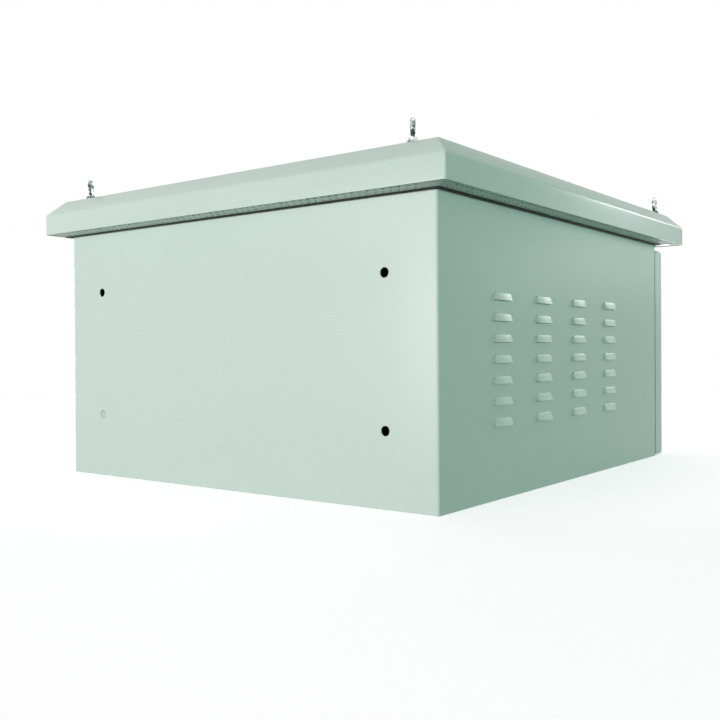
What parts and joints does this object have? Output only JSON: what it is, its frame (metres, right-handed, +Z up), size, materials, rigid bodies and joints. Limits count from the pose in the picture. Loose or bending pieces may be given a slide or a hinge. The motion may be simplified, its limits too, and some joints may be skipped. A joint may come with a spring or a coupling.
{
  "type": "wall-mount rack cabinet",
  "caption": "Wall-mount cabinet for 19 inch rack equipment, with a vented rain hood, louvred sides, a hinged door with quarter turn locks and lifting eyes.",
  "frame": {"origin": "floor plane of the body, under the middle of the rain hood", "axes": "+X right seen from the door, -Y out of the door, +Y to the wall, +Z up"},
  "size_m": [0.652, 0.712, 0.404],
  "materials": {
    "green_paint": "satin powder coat with a fine texture",
    "zinc_steel": "dull galvanised",
    "bright_zinc": "bright zinc plate",
    "lock_chrome": "polished",
    "hinge_steel": "painted with the body",
    "black_seal": "matt",
    "filter_fibre": "matt fibre",
    "plug_plastic": "matt"
  },
  "bodies": {
    "cabinet": {"base_tray": "green_paint", "body_wrap": "green_paint", "cable_grommets": "black_seal", "door_frame": "green_paint", "earth_nuts": "bright_zinc", "earth_stud": "bright_zinc", "earth_washer": "bright_zinc", "eave_strip_back": "green_paint", "eave_strip_front": "green_paint", "eave_strip_left": "green_paint", "eave_strip_right": "green_paint", "eye_bolt_back_left": "bright_zinc", "eye_bolt_back_right": "bright_zinc", "eye_bolt_front_left": "bright_zinc", "eye_bolt_front_right": "bright_zinc", "eye_nuts": "bright_zinc", "eye_washers": "bright_zinc", "filter_frame_left": "zinc_steel", "filter_frame_right": "zinc_steel", "filter_pad_left": "filter_fibre", "filter_pad_right": "filter_fibre", "filter_screws": "bright_zinc", "gland_plate": "green_paint", "gland_screws": "bright_zinc", "hinge_body_leaf_lower": "hinge_steel", "hinge_body_leaf_upper": "hinge_steel", "hinge_pin_lower": "hinge_steel", "hinge_pin_upper": "hinge_steel", "hood_channel_left": "zinc_steel", "hood_channel_right": "zinc_steel", "inner_roof": "green_paint", "rack_rail_front_left": "zinc_steel", "rack_rail_front_right": "zinc_steel", "rack_rail_rear_left": "zinc_steel", "rack_rail_rear_right": "zinc_steel", "rail_bearer_left_lower": "zinc_steel", "rail_bearer_left_upper": "zinc_steel", "rail_bearer_right_lower": "zinc_steel", "rail_bearer_right_upper": "zinc_steel", "rail_nuts": "bright_zinc", "rail_screws": "bright_zinc", "roof_hood": "green_paint", "wall_hole_plug": "plug_plastic"},
    "door": {"door_panel": "green_paint", "door_gasket": "black_seal", "door_stiffener_left": "zinc_steel", "door_stiffener_right": "zinc_steel", "hinge_door_leaf_lower": "hinge_steel", "hinge_door_leaf_upper": "hinge_steel", "lock_housing_lower": "lock_chrome", "lock_housing_upper": "lock_chrome", "lock_nuts": "bright_zinc"},
    "lock_lower": {"lock_core_lower": "lock_chrome", "lock_cam_lower": "bright_zinc", "cam_screw_lower": "bright_zinc"},
    "lock_upper": {"lock_core_upper": "lock_chrome", "lock_cam_upper": "bright_zinc", "cam_screw_upper": "bright_zinc"}
  },
  "joints": [
    {"name": "door_hinge", "type": "hinge", "parent": "cabinet", "child": "door", "pos_m": [0.3053, -0.3, 0.16], "axis": [0, 0, 1], "range_deg": [0, 120]},
    {"name": "lock_lower_turn", "type": "hinge", "parent": "door", "child": "lock_lower", "pos_m": [-0.248, -0.3, 0.09], "axis": [0, -1, 0], "range_deg": [0, 90]},
    {"name": "lock_upper_turn", "type": "hinge", "parent": "door", "child": "lock_upper", "pos_m": [-0.248, -0.3, 0.23], "axis": [0, -1, 0], "range_deg": [0, 90]}
  ]
}
